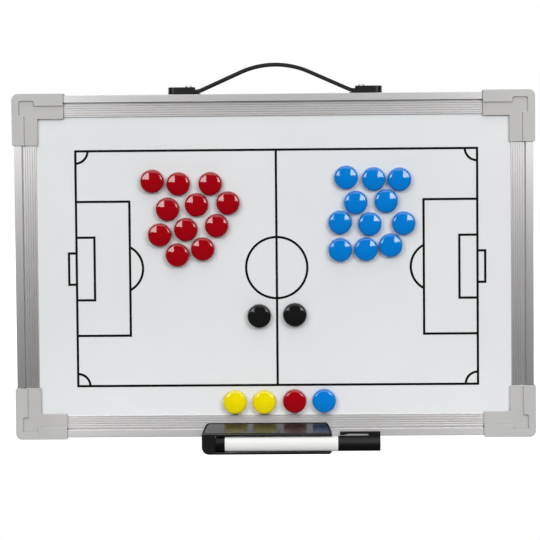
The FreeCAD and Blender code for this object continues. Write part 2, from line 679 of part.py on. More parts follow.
def strap_screws():
    """One pan-head screw through each end cap into its nut plate."""
    length = END_CAP_TOP - HALF_HEIGHT + RAIL_WALL + NUT_PLATE_THICKNESS
    screws = []
    for side in (-1, 1):
        screw = pan_screw(STRAP_SCREW_RADIUS, length, STRAP_HEAD_RADIUS, STRAP_HEAD_HEIGHT)
        screw.translate(Vector(HANDLE_SHIFT_X + side * STRAP_SCREW_X, HANDLE_DEPTH, END_CAP_TOP))
        screws.append(screw)
    return screws


def strap_nut_plates():
    """Threaded plates inside the top rail, under its outer wall."""
    plates = []
    for side in (-1, 1):
        x = HANDLE_SHIFT_X + side * STRAP_SCREW_X
        top = HALF_HEIGHT - RAIL_WALL
        low = top - NUT_PLATE_THICKNESS
        depths = (CHAMBER_FRONT + SPIGOT_CLEARANCE, CHAMBER_BACK - SPIGOT_CLEARANCE)
        plate = block((x - NUT_PLATE_LENGTH / 2, x + NUT_PLATE_LENGTH / 2), depths, (low, top))
        start = Vector(x, HANDLE_DEPTH, low - OVERCUT)
        hole = rod(STRAP_SCREW_RADIUS + THREAD_CLEARANCE, start, NUT_PLATE_THICKNESS + 2 * OVERCUT, UP)
        plates.append(plate.cut(hole))
    return plates


def pen_holder():
    """Tray with an open front, a sloped top and a clip round the bottom rail's bead."""
    tongue_low = RAIL_BOTTOM + BEAD_WIDTH + TONGUE_GAP
    tongue_high = RAIL_BOTTOM + BEAD_WIDTH + GROOVE_WIDTH - TONGUE_GAP
    tongue_tip = GROOVE_FLOOR - 2 * TONGUE_GAP
    rear_top = RAIL_BOTTOM + HOLDER_REAR_TOP
    channel_top = MARKER_Z + CHANNEL_HALF
    channel_low = MARKER_Z - CHANNEL_HALF
    catch_top = RAIL_BOTTOM - HOLDER_GAP
    catch_low = catch_top - CATCH_THICKNESS
    corners = [
        (PLATE_REAR, rear_top, 0), (HOLDER_FRONT, channel_top + HOLDER_UPPER_LIP, HOLDER_EDGE_RADIUS),
        (HOLDER_FRONT, channel_top, HOLDER_EDGE_RADIUS), (PLATE_FRONT, channel_top, HOLDER_EDGE_RADIUS),
        (PLATE_FRONT, channel_low, HOLDER_EDGE_RADIUS), (HOLDER_FRONT, channel_low, HOLDER_EDGE_RADIUS),
        (HOLDER_FRONT, HOLDER_LOW, HOLDER_EDGE_RADIUS), (PLATE_REAR, HOLDER_LOW, HOLDER_EDGE_RADIUS),
        (PLATE_REAR, catch_low, 0), (CATCH_REACH, catch_low, 0), (CATCH_REACH, catch_top, 0),
        (PLATE_REAR, catch_top, 0), (PLATE_REAR, tongue_low, 0), (tongue_tip, tongue_low, 0),
        (tongue_tip, tongue_high, 0), (PLATE_REAR, tongue_high, 0),
    ]
    body = prism(corners, section, Vector(HOLDER_LENGTH, 0, 0))
    body.translate(Vector(HOLDER_LEFT, 0, 0))
    end_wall = block(
        (HOLDER_LEFT, HOLDER_LEFT + HOLDER_END_WALL), (HOLDER_FRONT, PLATE_FRONT),
        (channel_low - HOLDER_LOWER_LIP / 2, channel_top + HOLDER_UPPER_LIP / 2))
    extras = [end_wall]
    for side in (-1, 1):
        x = HOLDER_SHIFT_X + side * NUB_SPAN / 2
        front = HOLDER_FRONT + NUB_INSET
        extras.append(block(
            (x - NUB_LENGTH / 2, x + NUB_LENGTH / 2), (front, front + NUB_DEPTH),
            (channel_low - HOLDER_LOWER_LIP / 2, channel_low + NUB_HEIGHT)))
    body = body.fuse(extras).removeSplitter()
    right = HOLDER_LEFT + HOLDER_LENGTH
    shoulder = channel_top + HOLDER_UPPER_LIP
    outline = [
        (HOLDER_LEFT, HOLDER_LOW, HOLDER_LEFT_RADIUS),
        (right, HOLDER_LOW, HOLDER_RIGHT_RADIUS),
        (right, shoulder, HOLDER_TOP_RADIUS),
        (right - HOLDER_TOP_TAPER, rear_top, HOLDER_CREST_RADIUS),
        (HOLDER_LEFT + HOLDER_TOP_TAPER, rear_top, HOLDER_CREST_RADIUS),
        (HOLDER_LEFT, shoulder, HOLDER_TOP_RADIUS),
    ]
    silhouette = prism(outline, plan, Vector(0, CATCH_REACH - HOLDER_FRONT + 2 * OVERCUT, 0))
    silhouette.translate(Vector(0, HOLDER_FRONT - OVERCUT, 0))
    return body.common(silhouette)


def marker_rod(radius, start, length):
    """Round bar on the marker's axis, from an X along +X."""
    return rod(radius, Vector(start, MARKER_DEPTH, MARKER_Z), length, RIGHT)


def marker_end_plug():
    """Rear plug, pressed into the barrel."""
    head = marker_rod(MARKER_RADIUS, PLUG_START, PLUG_LENGTH)
    rim = [edge for edge in head.Edges if abs(edge.CenterOfMass.x - PLUG_START) < 1e-6]
    head = head.makeFillet(PLUG_EDGE_RADIUS, rim)
    return head.fuse(marker_rod(BARREL_BORE - MARKER_FIT, BARREL_START, PLUG_SPIGOT_LENGTH)).removeSplitter()


def marker_barrel():
    """White tube."""
    return marker_rod(MARKER_RADIUS, BARREL_START, BARREL_LENGTH).cut(
        marker_rod(BARREL_BORE, BARREL_START, BARREL_LENGTH))


def marker_section():
    """Front part of the marker: sits in the barrel, has a thin collar, a neck for the cap and a nose cone."""
    inset_start = BARREL_END - SECTION_INSET
    inset = marker_rod(BARREL_BORE - MARKER_FIT, inset_start, SECTION_INSET)
    collar = marker_rod(MARKER_RADIUS, BARREL_END, SECTION_COLLAR)
    neck = marker_rod(NECK_RADIUS, LID_START, SECTION_NECK_LENGTH)
    cone = Part.makeCone(
        NECK_RADIUS, NIB_RADIUS + BARREL_WALL, SECTION_CONE_LENGTH, Vector(NECK_END, MARKER_DEPTH, MARKER_Z),
        RIGHT)
    bore = marker_rod(NIB_RADIUS + MARKER_FIT, inset_start, CONE_END - inset_start)
    return inset.fuse([collar, neck, cone]).cut(bore).removeSplitter()


def marker_nib():
    """Felt nib with a rounded tip."""
    start = CONE_END + NIB_OUT - NIB_LENGTH
    nib = marker_rod(NIB_RADIUS, start, NIB_LENGTH)
    tip = [edge for edge in nib.Edges if abs(edge.CenterOfMass.x - start - NIB_LENGTH) < 1e-6]
    return nib.makeFillet(NIB_TIP_RADIUS, tip)


def marker_ink_core():
    """Felt reservoir between the plug and the section."""
    start = BARREL_START + PLUG_SPIGOT_LENGTH
    return marker_rod(BARREL_BORE - CORE_WALL_GAP, start, BARREL_END - SECTION_INSET - start)


def marker_cap():
    """Cap with a pocket clip along its top."""
    body = marker_rod(MARKER_RADIUS, LID_START, LID_LENGTH)
    end = LID_START + LID_LENGTH
    rim = [edge for edge in body.Edges if abs(edge.CenterOfMass.x - end) < 1e-6]
    body = body.makeFillet(LID_RIM_RADIUS, rim)
    clip_low = MARKER_Z + MARKER_RADIUS + CLIP_SLOT
    clip_high = clip_low + CLIP_THICKNESS
    half = CLIP_WIDTH / 2
    tip_low = MARKER_Z + MARKER_RADIUS + CLIP_TIP_GAP
    radius = CLIP_EDGE_RADIUS
    inner = end - CLIP_ROOT
    start = end - CLIP_LENGTH
    corners = [
        (end, MARKER_Z, 0), (end, clip_high, radius), (start, clip_high, radius), (start, tip_low, radius),
        (start + CLIP_TIP, tip_low, radius), (start + CLIP_TIP + CLIP_RAMP, clip_low, 0),
        (inner, clip_low, radius), (inner, MARKER_Z, 0),
    ]
    clip = prism(corners, plan, Vector(0, CLIP_WIDTH, 0))
    clip.translate(Vector(0, MARKER_DEPTH - half, 0))
    bore = marker_rod(LID_BORE, LID_START, LID_LENGTH - LID_END_WALL)
    return body.fuse(clip).removeSplitter().cut(bore)


def turned(height_edges):
    """Solid turned about the Y axis from a closed list of edges."""
    return Part.Face(Part.Wire(height_edges)).revolve(Vector(0, 0, 0), BACKWARD, 360)


def turn_point(radius, height):
    """Point of a turned outline: the board's face is at height 0 and heights run towards the front."""
    return Vector(radius, -height, 0)


def counter_parts():
    """Plastic cap and ferrite disc of one counter, at the middle of the board's face."""
    radius = COUNTER_DIAMETER / 2
    side_radius = radius - COUNTER_TAPER
    crown_radius = side_radius - COUNTER_SHOULDER
    crown_edge = COUNTER_HEIGHT - COUNTER_CROWN_RISE
    side_height = crown_edge - COUNTER_SHOULDER
    disc_radius = radius - COUNTER_RIM
    dome = (crown_radius ** 2 + COUNTER_CROWN_RISE ** 2) / (2 * COUNTER_CROWN_RISE)
    half_dome = math.asin(crown_radius / dome) / 2
    on_shoulder = COUNTER_SHOULDER * math.sqrt(0.5)

    rim_inner = turn_point(disc_radius, 0)
    rim_outer = turn_point(radius, 0)
    side_top = turn_point(side_radius, side_height)
    shoulder = turn_point(crown_radius + on_shoulder, side_height + on_shoulder)
    crown_side = turn_point(crown_radius, crown_edge)
    crown_half = turn_point(dome * math.sin(half_dome), COUNTER_HEIGHT - dome * (1 - math.cos(half_dome)))
    crown_top = turn_point(0, COUNTER_HEIGHT)
    roof_middle = turn_point(0, DISC_THICKNESS)
    roof_edge = turn_point(disc_radius, DISC_THICKNESS)
    cap = turned([
        Part.makeLine(rim_inner, rim_outer),
        Part.makeLine(rim_outer, side_top),
        Part.Arc(side_top, shoulder, crown_side).toShape(),
        Part.Arc(crown_side, crown_half, crown_top).toShape(),
        Part.makeLine(crown_top, roof_middle),
        Part.makeLine(roof_middle, roof_edge),
        Part.makeLine(roof_edge, rim_inner),
    ])
    disc = rod(disc_radius - DISC_CLEARANCE, Vector(0, -DISC_THICKNESS, 0), DISC_THICKNESS, BACKWARD)
    return cap, disc


def counter_places():
    """Name and place of every counter."""
    places = []
    groups = (
        ("red", RED_GROUP, RED_PLACES),
        ("blue", BLUE_GROUP, BLUE_PLACES),
        ("black", BLACK_GROUP, BLACK_PLACES),
    )
    for colour, group, offsets in groups:
        for a, b in offsets:
            places.append((colour, group[0] + a * COUNTER_PITCH, group[1] + b * COUNTER_PITCH))
    for colour, a, b in SPARE_PLACES:
        places.append((colour, SPARE_GROUP[0] + a * COUNTER_PITCH, SPARE_GROUP[1] + b * COUNTER_PITCH))
    counts = {}
    named = []
    for colour, x, z in places:
        counts[colour] = counts.get(colour, 0) + 1
        named.append(("counter_%s_%02d" % (colour, counts[colour]), x, z))
    return named


def save_counters():
    """Every counter on the board's face."""
    for name, x, z in counter_places():
        pieces = []
        for piece in counter_parts():
            piece.translate(Vector(x, COUNTER_SEAT, z))
            pieces.append(piece)
        save(name, *pieces)


def main():
    os.makedirs("parts", exist_ok=True)
    core_front = PANEL_FRONT + SHEET_THICKNESS
    core_back = PANEL_BACK - BACK_SHEET_THICKNESS
    save("writing_sheet", panel_layer(PANEL_FRONT, core_front))
    save("core_board", panel_layer(core_front, core_back))
    save("back_sheet", panel_layer(core_back, PANEL_BACK))
    save("pitch_print", pitch_print())
    save("top_rail", top_rail())
    save("bottom_rail", level_rail(-1))
    save("left_rail", upright_rail(-1))
    save("right_rail", upright_rail(1))
    save("corner_top_left", corner_cap(-1, 1))
    save("corner_top_right", corner_cap(1, 1))
    save("corner_bottom_left", corner_cap(-1, -1))
    save("corner_bottom_right", corner_cap(1, -1))
    save("corner_screws", *corner_screws())
    save("handle_strap", handle_strap())
    save("strap_end_left", strap_end(-1))
    save("strap_end_right", strap_end(1))
    save("strap_screws", *strap_screws())
    save("strap_nut_plates", *strap_nut_plates())
    save("pen_holder", pen_holder())
    save("marker_end_plug", marker_end_plug())
    save("marker_barrel", marker_barrel())
    save("marker_section", marker_section())
    save("marker_nib", marker_nib())
    save("marker_ink_core", marker_ink_core())
    save("marker_cap", marker_cap())
    save_counters()


main()
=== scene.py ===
"""Studio scene of a magnetic tactics board, laid out as a Blender add-on.

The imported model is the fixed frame: metres, face towards -Y, +Z up, origin under the crown of the carry
strap. Solids whose shape is right keep their meshes and get a finish. Moulded parts are redrawn with
softened edges, and the strap and the counters are drawn anew in the places that the frame gives.
"""
import math

import bmesh
import bpy
from bpy.props import FloatProperty, FloatVectorProperty, IntProperty, PointerProperty
from mathutils import Matrix, Vector


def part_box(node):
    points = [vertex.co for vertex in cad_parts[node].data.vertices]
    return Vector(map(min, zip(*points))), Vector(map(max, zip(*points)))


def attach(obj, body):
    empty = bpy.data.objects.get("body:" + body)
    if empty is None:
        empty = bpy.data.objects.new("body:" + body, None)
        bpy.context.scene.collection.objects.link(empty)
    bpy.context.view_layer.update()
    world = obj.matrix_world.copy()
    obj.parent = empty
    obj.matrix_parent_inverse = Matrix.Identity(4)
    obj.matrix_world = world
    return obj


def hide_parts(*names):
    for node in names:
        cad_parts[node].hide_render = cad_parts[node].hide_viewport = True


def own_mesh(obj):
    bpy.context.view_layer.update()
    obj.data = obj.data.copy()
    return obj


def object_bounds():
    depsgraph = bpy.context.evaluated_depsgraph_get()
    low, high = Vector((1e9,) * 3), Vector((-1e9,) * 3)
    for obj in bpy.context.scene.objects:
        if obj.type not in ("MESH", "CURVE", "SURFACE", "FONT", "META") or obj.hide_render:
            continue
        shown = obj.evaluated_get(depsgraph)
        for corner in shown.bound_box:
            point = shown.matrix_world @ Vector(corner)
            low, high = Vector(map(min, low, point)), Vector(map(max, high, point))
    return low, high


bl_info = {
    "name": "Tactics board",
    "version": (1, 0, 0),
    "blender": (4, 5, 0),
    "location": "View3D > Sidebar > Tactics board",
    "description": "Dresses a magnetic tactics board with counters, a marker, a holder and a carry strap",
    "category": "Object",
}

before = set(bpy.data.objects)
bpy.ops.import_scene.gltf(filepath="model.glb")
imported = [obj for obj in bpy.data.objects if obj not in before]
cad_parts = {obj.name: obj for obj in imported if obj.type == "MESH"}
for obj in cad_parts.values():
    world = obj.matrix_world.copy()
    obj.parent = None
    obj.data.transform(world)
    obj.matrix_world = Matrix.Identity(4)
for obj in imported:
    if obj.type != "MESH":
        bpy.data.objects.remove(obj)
CAD_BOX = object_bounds()
RAILS_UPRIGHT = ("left_rail", "right_rail")
CORNERS = ("corner_top_left", "corner_top_right", "corner_bottom_left", "corner_bottom_right")
STRAP_ENDS = ("strap_end_left", "strap_end_right")
COUNTERS = sorted(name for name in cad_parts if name.startswith("counter_"))

# Finishes: metres, a count of rays, and shares of light or colour
WHITE = (1, 1, 1, 1)
COAT_ROUGHNESS = 0.05
ROUGHNESS_SPREAD = 0.15
# Painted shade in creases and grooves: ambient occlusion darkens the base colour, less in the bottom rail's
# grooves, which catch the light
CREASE_SAMPLES = 16
CREASE_OPENING = (0.25, 0.82)
CREASE_SHADE = 0.06
RAIL_CREASE = 0.0010
MOULDED_CREASE = 0.0015
GROOVE_PAINTED_SHADE = 0.9
LOWER_GROOVE_PAINTED_SHADE = 0.4
COUNTER_SPECULAR = 0.65
BLACK_COUNTER_SPECULAR = 0.32

# Drawn lines of the aluminium, per metre along a rail and across it
LINES_ALONG = 3.0
LINES_ACROSS = 2600.0

# Places of a Mix node's colour sockets, whose names its other sockets share
MIX_COLOURS = (6, 7)
MIX_RESULT = 2

# Meshes: metres, radians, counts and shares
MERGE_DISTANCE = 1e-6
FLAT_ANGLE = math.radians(0.5)
HARD_ANGLE = math.radians(38)
SMOOTH_ANGLE = math.radians(35)
ROUND_SMOOTH_ANGLE = math.radians(40)
ROOMY_SHARE = 0.6
EDGE_SEGMENTS = 2
SLOPE_LEAN = 0.2
MAGNET_GAP = 0.00005
EDGE_STEPS = 4
SHOULDER_STEPS = 10
DOME_STEPS = 10
STRAP_CROWN_STEPS = 24
STRAP_RUN_STEPS = 12
STRAP_BEND_STEPS = 12
STRAP_END_STEPS = 6

# Stage: metres, and the sensor in millimetres
FLOOR_HALF_WIDTH = 4.0
FLOOR_FRONT = -0.2
FLOOR_BACK = 5.0
SENSOR_WIDTH = 36.0
CLIP_END = 50.0


def extent(node):
    """Size of a node's box."""
    low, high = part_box(node)
    return high - low


def middle(node):
    """Middle of a node's box."""
    low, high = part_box(node)
    return (low + high) / 2


def colour(name, description, default):
    """Property of one colour, as linear red, green and blue."""
    return FloatVectorProperty(
        name=name, description=description, default=default, size=3, min=0, max=1, subtype="COLOR")


def length(name, description, default):
    """Property of one length in metres."""
    return FloatProperty(
        name=name, description=description, default=default, min=0, precision=5, unit="LENGTH",
        subtype="DISTANCE")


def angle(name, description, degrees):
    """Property of one angle."""
    return FloatProperty(
        name=name, description=description, default=math.radians(degrees), unit="ROTATION",
        subtype="ANGLE")


class TacticsFinishes(bpy.types.PropertyGroup):
    """Colours of the board's finishes"""

    enamel: colour("Enamel", "Face of the writing sheet", (0.775, 0.79, 0.8))
    ink: colour("Ink", "Printed pitch", (0.002, 0.002, 0.002))
    aluminium: colour("Aluminium", "Rails", (0.85, 0.84, 0.84))
    corner: colour("Corner plastic", "Corner caps", (0.485, 0.48, 0.472))
    galvanised: colour("Back sheet", "Zinc-coated back sheet", (0.55, 0.56, 0.57))
    fibreboard: colour("Core", "Board between the sheets", (0.42, 0.3, 0.19))
    steel: colour("Screws", "Screws and nut plates", (0.8, 0.79, 0.77))
    rubber: colour("Strap", "Carry strap", (0.007, 0.0065, 0.0065))
    black: colour(
        "Black plastic", "Strap ends, the holder's rim and the marker's dark parts", (0.005, 0.0045, 0.0045))
    holder: colour("Holder", "Pen holder", (0.007, 0.007, 0.008))
    white: colour("Marker white", "Marker barrel", (0.775, 0.775, 0.763))
    felt: colour("Felt", "Nib and ink core", (0.05, 0.05, 0.06))
    ferrite: colour("Ferrite", "Magnet discs", (0.035, 0.034, 0.036))
    counter_red: colour("Red counters", "Plastic of the red counters", (0.33, 0.0, 0.004))
    counter_blue: colour("Blue counters", "Plastic of the blue counters", (0.0, 0.19, 0.62))
    counter_black: colour("Black counters", "Plastic of the black counters", (0.009, 0.009, 0.009))
    counter_yellow: colour("Yellow counters", "Plastic of the yellow counters", (0.8, 0.66, 0.0))


class TacticsSizes(bpy.types.PropertyGroup):
    """Sizes of the pieces that are drawn anew"""

    counter_diameter: length("Counter diameter", "Across the rim", extent("counter_red_01").x)
    counter_height: length("Counter height", "From the sheet to the crown", extent("counter_red_01").y)
    counter_crown: length("Crown rise", "Rise of the counter's dome", 0.0010)
    counter_shoulder: length("Shoulder", "Radius of the counter's rounded edge", 0.0024)
    counter_taper: length("Taper", "How much the counter's side leans in", 0.0004)
    counter_rim: length("Rim", "Plastic around the magnet", 0.0020)
    counter_foot: length("Foot", "Rounding of the counter's lower edge", 0.0003)
    disc_thickness: length("Magnet", "Thickness of the magnet disc", 0.0040)
    counter_steps: IntProperty(
        name="Counter steps", description="Faces round a counter", default=72, min=12)
    strap_thickness: length("Strap thickness", "Thickness of the carry strap", 0.0031)
    strap_width: length("Strap width", "Width of the carry strap", extent("handle_strap").y)
    strap_crown: length("Crown radius", "Bow of the strap's middle", 0.072)
    strap_bend: length("Bend radius", "Bend above each end cap", 0.012)
    strap_flat: length("Flat start", "Where the strap lies flat, from its middle", 0.0679)
    strap_edge: length("Strap edge", "Rounding of the strap's edges", 0.0005)
    strap_slope: angle("Strap slope", "Slope of the strap's straight runs", 24.0)
    corner_edge: length("Corner edge", "Rounding of the corner caps' edges", 0.00045)
    holder_edge: length("Holder edge", "Rounding of the holder's edges", 0.0005)
    holder_rim: length("Holder rim", "Matt rim round the holder's sloped top", 0.0012)
    small_edge: length("Small edge", "Rounding of the strap ends and the marker cap", 0.00025)


class TacticsStudio(bpy.types.PropertyGroup):
    """Camera, floor and light"""

    distance: length("Distance", "From the camera to the middle of the view", 2.0)
    azimuth: angle("Azimuth", "Turn of the camera to the right", 1.4)
    elevation: angle("Elevation", "Height of the camera", 3.0)
    roll: angle("Roll", "Tilt of the camera", -0.509)
    lens: FloatProperty(name="Lens", description="Focal length in millimetres", default=155.11, min=1)
    target: FloatVectorProperty(
        name="Target", description="Middle of the view", default=(-0.005517, -0.0035, -0.174454), size=3,
        subtype="TRANSLATION", unit="LENGTH", precision=5)
    floor_colour: colour("Floor", "Pale floor", (0.5, 0.5, 0.5))
    floor_glow: FloatProperty(
        name="Floor glow", description="Brightness of the floor for the camera", default=0.95, min=0)
    floor_bounce: FloatProperty(
        name="Floor bounce", description="Brightness of the floor for all but the camera", default=0.16,
        min=0)
    ambient: FloatProperty(
        name="Ambient", description="Even light on the board from all around", default=0.04, min=0)
    overhead: FloatProperty(name="Overhead", description="Soft light from above", default=1.5, min=0)
    overhead_tilt: angle("Overhead tilt", "Lean of the overhead light to the front", 29.0)
    overhead_angle: angle("Overhead size", "Angle that the overhead light fills", 70.0)
    box_power: FloatProperty(
        name="Light boxes", description="Power of each light box", default=6.6, min=0, unit="POWER")
    box_lean: FloatProperty(
        name="Lean", description="Share of the power that moves from the left box to the right one",
        default=0.08)
    box_side: length("Box to the side", "From the middle to each light box", 0.64)
    box_front: length("Box to the front", "From the face to each light box", 1.0)
    box_rise: length("Box height", "Middle of each light box above the strap", 0.24)
    box_width: length("Box width", "Width of each light box", 0.6)
    box_tall: length("Box length", "Upright side of each light box", 0.44)
    fill_power: FloatProperty(
        name="Back lights", description="Power of each light box behind the board", default=4.5, min=0,
        unit="POWER")
    fill_side: length("Back light to the side", "From the middle to each light box behind the board", 1.0)
    fill_back: length("Back light to the back", "From the board to each light box behind it", 0.9)


class Finish:
    """A node material that is built step by step on one principled shader."""

    def __init__(self, name, base, roughness, metallic=0.0, specular=0.5, coat=0.0):
        self.material = bpy.data.materials.new(name)
        self.material.use_nodes = True
        self.tree = self.material.node_tree
        self.shader = self.tree.nodes["Principled BSDF"]
        self.base = Vector(base)
        self.set("Base Color", (*base, 1))
        self.set("Roughness", roughness)
        self.set("Metallic", metallic)
        self.set("Specular IOR Level", specular)
        self.set("Coat Weight", coat)
        self.set("Coat Roughness", COAT_ROUGHNESS)
        self.place = self.tree.nodes.new("ShaderNodeTexCoord").outputs["Object"]
        self.bumps = None

    def set(self, socket, value):
        """Constant on one of the shader's own sockets."""
        self.shader.inputs[socket].default_value = value

    def add(self, kind, links=(), values=(), **settings):
        """New node with its settings, linked inputs and constant inputs."""
        node = self.tree.nodes.new(kind)
        for key, value in settings.items():
            setattr(node, key, value)
        for socket, value in values:
            node.inputs[socket].default_value = value
        for socket, output in links:
            self.tree.links.new(output, node.inputs[socket])
        return node

    def stretch(self, scale):
        """Object coordinates with a scale of their own along each axis."""
        node = self.add("ShaderNodeMapping", [("Vector", self.place)], [("Scale", scale)])
        return node.outputs["Vector"]

    def noise(self, scale, detail=3.0, roughness=0.5, stretch=None):
        """Soft noise from 0 to 1."""
        place = self.stretch(stretch) if stretch else self.place
        values = [("Scale", scale), ("Detail", detail), ("Roughness", roughness)]
        return self.add("ShaderNodeTexNoise", [("Vector", place)], values).outputs["Fac"]

    def cells(self, scale):
        """Cells of random size, each with a colour of its own."""
        node = self.add("ShaderNodeTexVoronoi", [("Vector", self.place)], [("Scale", scale)])
        return node.outputs["Color"]

    def span(self, source, low, high, start=0.3, end=0.7):
        """A factor carried over from one span to another."""
        values = [("From Min", start), ("From Max", end), ("To Min", low), ("To Max", high)]
        return self.add("ShaderNodeMapRange", [("Value", source)], values).outputs["Result"]

    def blend(self, factor, first, second):
        """Colour between two, which are colours or outputs."""
        node = self.add("ShaderNodeMix", [("Factor", factor)], data_type="RGBA")
        for index, value in zip(MIX_COLOURS, (first, second)):
            if isinstance(value, bpy.types.NodeSocket):
                self.tree.links.new(value, node.inputs[index])
            else:
                node.inputs[index].default_value = (*value, 1)
        return node.outputs[MIX_RESULT]

    def link(self, socket, output):
        """An output into one of the shader's sockets."""
        self.tree.links.new(output, self.shader.inputs[socket])

    def mottle(self, source, share, tint=(1, 1, 1)):
        """Base colour that drifts by a share to lighter and, with a tint, to darker."""
        darker = [channel * (1 - share) * part for channel, part in zip(self.base, tint)]
        lighter = [min(1.0, channel * (1 + share)) for channel in self.base]
        output = self.blend(self.span(source, 0, 1), darker, lighter)
        self.link("Base Color", output)
        return output

    def paint_crease_shade(self, shade, reach, share):
        """Painted shade: the base colour darkens by a share in creases narrower than a reach in metres,
        found by ambient occlusion.
        """
        node = self.add("ShaderNodeAmbientOcclusion", (), [("Distance", reach)], samples=CREASE_SAMPLES)
        depth = self.span(node.outputs["AO"], share, 0, *CREASE_OPENING)
        self.link("Base Color", self.blend(depth, shade, [channel * CREASE_SHADE for channel in self.base]))

    def bump(self, source, height):
        """Relief of a real height in metres, added to any relief before it."""
        links = [("Height", source)]
        if self.bumps:
            links.append(("Normal", self.bumps))
        node = self.add("ShaderNodeBump", links, [("Strength", 1.0), ("Distance", height)])
        self.bumps = node.outputs["Normal"]
        self.link("Normal", self.bumps)

    def brushed(self, amount, direction):
        """Shine that is drawn out, with its tangent along a direction in the frame."""
        node = self.add("ShaderNodeCombineXYZ", (), list(zip("XYZ", direction)))
        self.set("Anisotropic", amount)
        self.link("Tangent", node.outputs["Vector"])


def enamel_finish(finishes):
    """Glossy white enamel with faint wipe marks and orange peel."""
    finish = Finish("white_enamel", finishes.enamel, roughness=0.2, coat=0.25)
    clouds = finish.noise(scale=11.0, detail=4.0)
    finish.mottle(clouds, share=0.012, tint=(0.995, 1.0, 1.0))
    wipes = finish.noise(scale=9.0, detail=6.0, roughness=0.65, stretch=(1.0, 1.0, 7.0))
    finish.link("Roughness", finish.span(wipes, low=0.16, high=0.27))
    finish.bump(finish.noise(scale=420.0, detail=2.0), height=0.000004)
    return finish.material


def ink_finish(finishes):
    """Screen-printed ink with a fine grain."""
    finish = Finish("black_ink", finishes.ink, roughness=0.5, specular=0.1)
    grain = finish.noise(scale=2600.0, detail=2.0)
    finish.mottle(grain, share=0.5)
    finish.link("Roughness", finish.span(grain, low=0.44, high=0.58))
    return finish.material


def aluminium_finish(finishes, name, stretch, across, grooves):
    """Drawn aluminium with painted shade in its grooves, whose fine lines along the rail spread the light
    across it.
    """
    finish = Finish(name, finishes.aluminium, roughness=0.5, metallic=0.9, specular=0.4)
    lines = finish.noise(scale=1.0, detail=4.0, roughness=0.7, stretch=stretch)
    shade = finish.mottle(lines, share=0.025, tint=(1.0, 0.995, 0.99))
    # Painted shade in the grooves and at the foot of the steps
    finish.paint_crease_shade(shade, RAIL_CREASE, grooves)
    finish.link("Roughness", finish.span(lines, low=0.46, high=0.56))
    finish.brushed(0.82, across)
    finish.bump(lines, height=0.000004)
    return finish.material


def moulded_finish(
        name, base, roughness, grain=1800.0, height=0.000008, drift=0.05, specular=0.5, painted_shade=0.0):
    """Moulded plastic with a fine skin texture, slow drifts of tone at random and, if asked, painted shade
    in its creases.
    """
    finish = Finish(name, base, roughness, specular=specular)
    slow = finish.noise(scale=28.0, detail=4.0)
    shade = finish.mottle(slow, drift)
    # Painted shade in the creases, where asked
    if painted_shade:
        finish.paint_crease_shade(shade, MOULDED_CREASE, painted_shade)
    skin = finish.noise(grain, detail=3.0)
    low, high = roughness * (1 - ROUGHNESS_SPREAD), roughness * (1 + ROUGHNESS_SPREAD)
    finish.link("Roughness", finish.span(skin, low, high))
    finish.bump(skin, height)
    return finish.material


def holder_finish(finishes):
    """Polished black plastic with fine flow lines across the holder's length."""
    finish = Finish("holder_gloss", finishes.holder, roughness=0.1, specular=0.9)
    finish.set("IOR", 1.75)
    flow = finish.noise(scale=1.0, detail=3.0, roughness=0.6, stretch=(900.0, 10.0, 10.0))
    slow = finish.noise(scale=30.0)
    finish.mottle(slow, share=0.15)
    finish.link("Roughness", finish.span(flow, low=0.1, high=0.2))
    finish.brushed(0.9, (0, 0, 1))
    finish.bump(flow, height=0.00002)
    return finish.material


def steel_finish(finishes):
    """Zinc-plated steel of the screws and nut plates."""
    finish = Finish("screw_steel", finishes.steel, roughness=0.45, metallic=0.9)
    tarnish = finish.noise(scale=900.0, detail=4.0)
    finish.mottle(tarnish, share=0.12, tint=(1.0, 0.99, 0.95))
    finish.link("Roughness", finish.span(tarnish, low=0.38, high=0.52))
    return finish.material


def galvanised_finish(finishes):
    """Zinc-coated sheet with its faint crystal pattern."""
    finish = Finish("back_metal", finishes.galvanised, roughness=0.6, metallic=0.5)
    crystals = finish.cells(scale=240.0)
    shade = finish.add("ShaderNodeRGBToBW", [("Color", crystals)]).outputs["Val"]
    finish.mottle(shade, share=0.025, tint=(1.0, 1.0, 1.01))
    finish.link("Roughness", finish.span(shade, low=0.56, high=0.62))
    finish.bump(finish.noise(scale=700.0, detail=3.0), height=0.000006)
    return finish.material


def fibre_finish(name, base, scale, roughness):
    """Pressed fibres, for the core board, the nib and the ink core."""
    finish = Finish(name, base, roughness, specular=0.2)
    fibres = finish.noise(scale, detail=6.0, roughness=0.7, stretch=(0.25, 1.0, 1.0))
    finish.mottle(fibres, share=0.3)
    finish.bump(fibres, height=0.00004)
    return finish.material


def counter_finish(name, base, specular):
    """Glossy injection-moulded cap."""
    finish = Finish(name, base, roughness=0.06, specular=specular)
    slow = finish.noise(scale=60.0, detail=3.0)
    finish.mottle(slow, share=0.06)
    finish.link("Roughness", finish.span(finish.noise(scale=300.0), low=0.04, high=0.08))
    finish.bump(finish.noise(scale=160.0, detail=2.0), height=0.000004)
    return finish.material


def dress(material, *nodes):
    """Put a finish on the slots of CAD nodes that keep their meshes."""
    for node in nodes:
        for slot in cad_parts[node].material_slots:
            slot.material = material


def add_piece(name, mesh, materials, body, slot, *nodes):
    """New object that rides on a body and stands for CAD nodes; a shared mesh gets its finishes once."""
    piece = bpy.data.objects.new(name, mesh)
    bpy.context.scene.collection.objects.link(piece)
    if not mesh.materials:
        for material in materials:
            mesh.materials.append(material)
    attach(piece, body)
    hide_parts(*nodes)
    return piece


